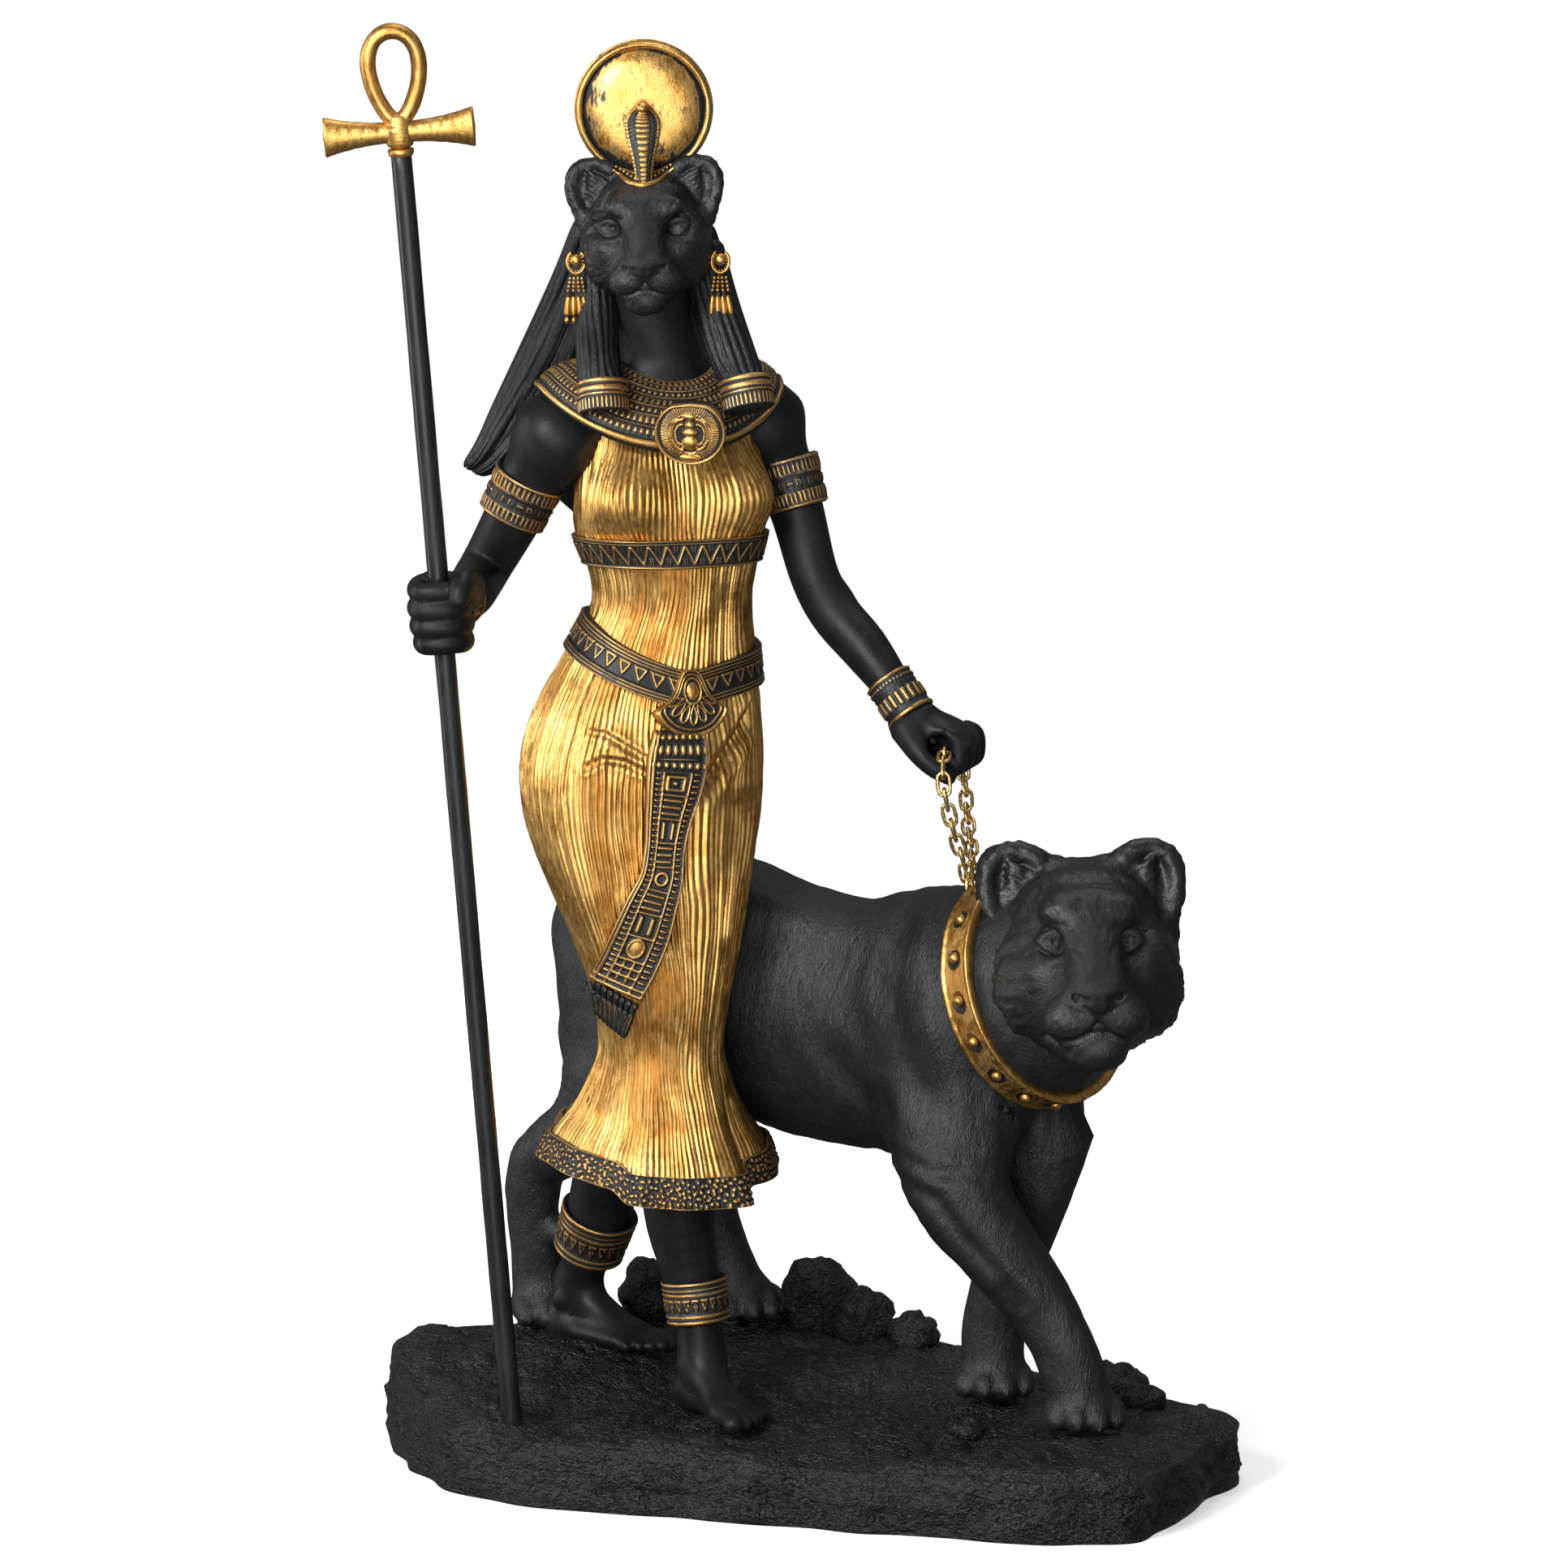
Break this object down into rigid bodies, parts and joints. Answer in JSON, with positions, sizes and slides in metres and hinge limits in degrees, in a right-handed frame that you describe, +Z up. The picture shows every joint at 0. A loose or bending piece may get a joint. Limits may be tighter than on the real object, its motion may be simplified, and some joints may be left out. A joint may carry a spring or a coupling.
{
  "type": "lioness goddess statuette",
  "caption": "Resin statuette of a lioness-headed goddess in a pleated gown who walks with a collared lioness on a rock base, holding an ankh-topped staff and a chain.",
  "frame": {"origin": "middle of the rock base's flat underside", "axes": "+Z up along the figure's height, -Y towards the viewer whom the goddess faces, +X towards the lioness's head"},
  "size_m": [0.1773, 0.1174, 0.2904],
  "materials": {
    "resin": "blue-black satin paint on cold-cast resin",
    "gilt": "antique gold paint rubbed over black",
    "staff": "satin black rod with a gold-painted ankh",
    "chain": "bright pale gold plate"
  },
  "bodies": {
    "root": {"statue": "resin", "ankh_staff": "staff", "chain_link_01": "chain", "chain_link_02": "chain", "chain_link_03": "chain", "chain_link_04": "chain", "chain_link_05": "chain", "chain_link_06": "chain", "chain_link_07": "chain", "chain_link_08": "chain", "chain_link_09": "chain", "chain_link_10": "chain", "chain_link_11": "chain", "chain_link_12": "chain", "chain_link_13": "chain", "chain_link_14": "chain", "chain_link_15": "chain", "chain_link_16": "chain", "chain_link_17": "chain", "chain_link_18": "chain", "chain_link_19": "chain", "chain_link_20": "chain", "chain_link_21": "chain", "chain_link_22": "chain", "chain_link_23": "chain", "chain_link_24": "chain", "chain_link_25": "chain"}
  },
  "joints": []
}
